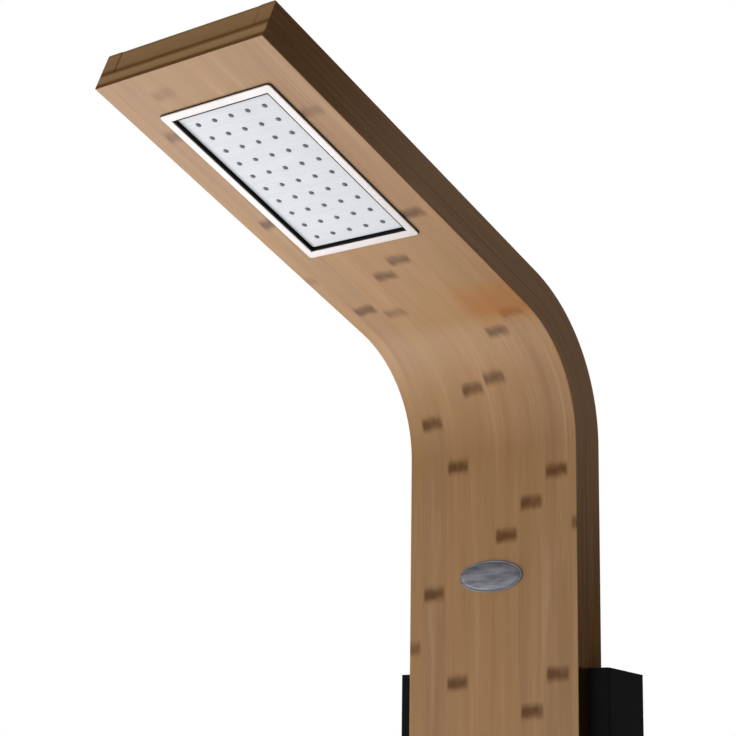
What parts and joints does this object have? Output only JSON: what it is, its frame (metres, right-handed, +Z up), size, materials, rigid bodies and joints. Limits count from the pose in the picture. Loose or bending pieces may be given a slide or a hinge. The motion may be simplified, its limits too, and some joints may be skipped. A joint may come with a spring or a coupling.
{
  "type": "shower column",
  "caption": "Wall-hung bamboo column bent forward into a tilted rain head, on a black housing with swivelling body jets, a single lever mixer and a diverter knob.",
  "frame": {"origin": "middle of the upper wall rail's two screw holes, on the wall plane", "axes": "+X across the column to the right as seen from the front, +Y into the wall, +Z up"},
  "size_m": [0.246, 0.5077, 1.4994],
  "materials": {
    "bamboo": "satin lacquer on laminated bamboo",
    "bamboo_dark": "satin lacquer, dark stained edge",
    "badge": "brushed",
    "bezel_white": "glossy white",
    "black_plastic": "moulded black",
    "spray_steel": "finely brushed",
    "silicone": "grey silicone",
    "seal_rubber": "black rubber",
    "housing_black": "satin black powder coat",
    "zinc_steel": "zinc plated",
    "fasteners": "stainless",
    "chrome": "polished",
    "brass": "turned brass",
    "pipe_plastic": "grey water pipe",
    "cartridge_plastic": "white moulded"
  },
  "bodies": {
    "root": {"front_board": "bamboo", "side_wall_left": "bamboo_dark", "side_wall_right": "bamboo_dark", "end_panel": "bamboo", "back_cover": "bamboo_dark", "back_cover_screws": "fasteners", "badge_plate": "badge", "head_bezel": "bezel_white", "head_tray": "black_plastic", "tray_screws": "fasteners", "spray_plate": "spray_steel", "nozzle_mat": "silicone", "spray_chamber": "black_plastic", "chamber_nuts": "fasteners", "chamber_screws": "fasteners", "inlet_seal": "seal_rubber", "riser_pipe": "pipe_plastic", "pipe_coupler": "brass", "head_pipe": "pipe_plastic", "pipe_clips": "black_plastic", "housing_shell": "housing_black", "top_cap": "black_plastic", "bottom_cap": "black_plastic", "column_bracket": "zinc_steel", "column_screws": "fasteners", "board_screws": "fasteners", "upper_hanger": "zinc_steel", "lower_hanger": "zinc_steel", "upper_wall_rail": "zinc_steel", "lower_wall_rail": "zinc_steel", "lock_screws": "fasteners", "jet_bezels": "chrome", "jet_bodies": "brass", "jet_seals": "seal_rubber", "jet_nuts": "brass", "jet_pipes": "pipe_plastic", "diverter_body": "brass", "diverter_locknut": "brass", "diverter_escutcheon": "chrome", "link_pipe": "pipe_plastic", "mixer_body": "brass", "hot_inlet": "brass", "cold_inlet": "brass", "mixer_cartridge": "cartridge_plastic", "cartridge_nut": "brass", "mixer_locknut": "brass", "mixer_escutcheon": "chrome"},
    "jet_1": {"jet_ball_1": "chrome"},
    "jet_2": {"jet_ball_2": "chrome"},
    "jet_3": {"jet_ball_3": "chrome"},
    "jet_4": {"jet_ball_4": "chrome"},
    "diverter": {"diverter_spindle": "brass", "diverter_knob": "chrome", "knob_screw": "fasteners"},
    "mixer_turner": {"mixer_dome": "chrome"},
    "mixer_handle": {"lever_spindle": "fasteners", "lever_pin": "fasteners", "mixer_lever": "chrome", "lever_screw": "fasteners"}
  },
  "joints": [
    {"name": "jet_tilt_1", "type": "hinge", "parent": "root", "child": "jet_1", "pos_m": [-0.052, -0.0665, -0.15], "axis": [1, 0, 0], "range_deg": [-15, 15]},
    {"name": "jet_tilt_2", "type": "hinge", "parent": "root", "child": "jet_2", "pos_m": [0.052, -0.0665, -0.15], "axis": [1, 0, 0], "range_deg": [-15, 15]},
    {"name": "jet_tilt_3", "type": "hinge", "parent": "root", "child": "jet_3", "pos_m": [-0.052, -0.0665, -0.33], "axis": [1, 0, 0], "range_deg": [-15, 15]},
    {"name": "jet_tilt_4", "type": "hinge", "parent": "root", "child": "jet_4", "pos_m": [0.052, -0.0665, -0.33], "axis": [1, 0, 0], "range_deg": [-15, 15]},
    {"name": "diverter_turn", "type": "hinge", "parent": "root", "child": "diverter", "pos_m": [0, -0.0715, -0.48], "axis": [0, -1, 0], "range_deg": [-45, 45]},
    {"name": "mixer_turn", "type": "hinge", "parent": "root", "child": "mixer_turner", "pos_m": [0, -0.0855, -0.64], "axis": [0, -1, 0], "range_deg": [-45, 45]},
    {"name": "mixer_lift", "type": "hinge", "parent": "mixer_turner", "child": "mixer_handle", "pos_m": [0, -0.0855, -0.64], "axis": [-1, 0, 0], "range_deg": [0, 22]}
  ]
}
